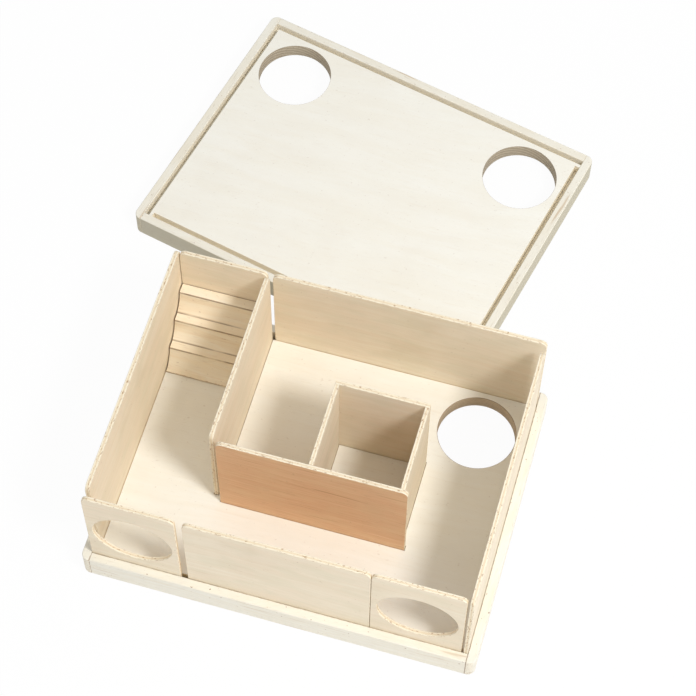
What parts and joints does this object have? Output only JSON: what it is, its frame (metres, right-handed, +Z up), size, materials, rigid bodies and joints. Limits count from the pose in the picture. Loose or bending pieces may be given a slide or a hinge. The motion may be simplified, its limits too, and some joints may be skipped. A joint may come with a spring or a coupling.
{
  "type": "small pet house",
  "caption": "Open wooden pet house: slotted base board, plug-in walls with round doors, rooms, a nest box and stairs, with its lid lying behind it.",
  "frame": {"origin": "centre of the base board's footprint, on the surface it stands on", "axes": "+Z up, +X to the right along the front with its two doors, +Y to the back"},
  "size_m": [0.4168, 0.6027, 0.134],
  "materials": {
    "board_plywood": "sanded birch plywood, bare",
    "strip_wood": "sanded solid poplar, bare",
    "wall_plywood": "sanded thin poplar plywood, bare",
    "stair_wood": "planed solid pine, bare"
  },
  "bodies": {
    "base": {"base_plate": "board_plywood", "base_strip_front": "strip_wood", "base_strip_back": "strip_wood", "base_strip_left": "strip_wood", "base_strip_right": "strip_wood"},
    "front_left_wall": {"front_panel_left": "wall_plywood"},
    "front_centre_wall": {"front_panel_centre": "wall_plywood"},
    "front_right_wall": {"front_panel_right": "wall_plywood"},
    "left_wall": {"side_wall_left": "wall_plywood"},
    "right_wall": {"side_wall_right": "wall_plywood"},
    "back_narrow_wall": {"back_panel_narrow": "wall_plywood"},
    "back_wide_wall": {"back_panel_wide": "wall_plywood"},
    "divider": {"divider_panel": "wall_plywood"},
    "nest_box": {"nest_front_panel": "wall_plywood", "nest_left_panel": "wall_plywood", "nest_back_panel": "wall_plywood", "nest_right_panel": "wall_plywood"},
    "stairs": {"stair_block": "stair_wood"},
    "lid": {"lid_plate": "board_plywood", "lid_strip_front": "strip_wood", "lid_strip_back": "strip_wood", "lid_strip_left": "strip_wood", "lid_strip_right": "strip_wood"}
  },
  "joints": [
    {"name": "front_left_wall_lift", "type": "slide", "parent": "base", "child": "front_left_wall", "axis": [0, 0, 1], "range_m": [0, 0.125]},
    {"name": "front_centre_wall_lift", "type": "slide", "parent": "base", "child": "front_centre_wall", "axis": [0, 0, 1], "range_m": [0, 0.125]},
    {"name": "front_right_wall_lift", "type": "slide", "parent": "base", "child": "front_right_wall", "axis": [0, 0, 1], "range_m": [0, 0.125]},
    {"name": "left_wall_lift", "type": "slide", "parent": "base", "child": "left_wall", "axis": [0, 0, 1], "range_m": [0, 0.125]},
    {"name": "right_wall_lift", "type": "slide", "parent": "base", "child": "right_wall", "axis": [0, 0, 1], "range_m": [0, 0.125]},
    {"name": "back_narrow_wall_lift", "type": "slide", "parent": "base", "child": "back_narrow_wall", "axis": [0, 0, 1], "range_m": [0, 0.125]},
    {"name": "back_wide_wall_lift", "type": "slide", "parent": "base", "child": "back_wide_wall", "axis": [0, 0, 1], "range_m": [0, 0.125]},
    {"name": "divider_lift", "type": "slide", "parent": "base", "child": "divider", "axis": [0, 0, 1], "range_m": [0, 0.125]},
    {"name": "nest_box_lift", "type": "slide", "parent": "base", "child": "nest_box", "axis": [0, 0, 1], "range_m": [0, 0.125]},
    {"name": "stairs_lift", "type": "slide", "parent": "base", "child": "stairs", "axis": [0, 0, 1], "range_m": [0, 0.125]},
    {"name": "lid_lift", "type": "slide", "parent": "base", "child": "lid", "axis": [0, 0, 1], "range_m": [0, 0.16]}
  ]
}
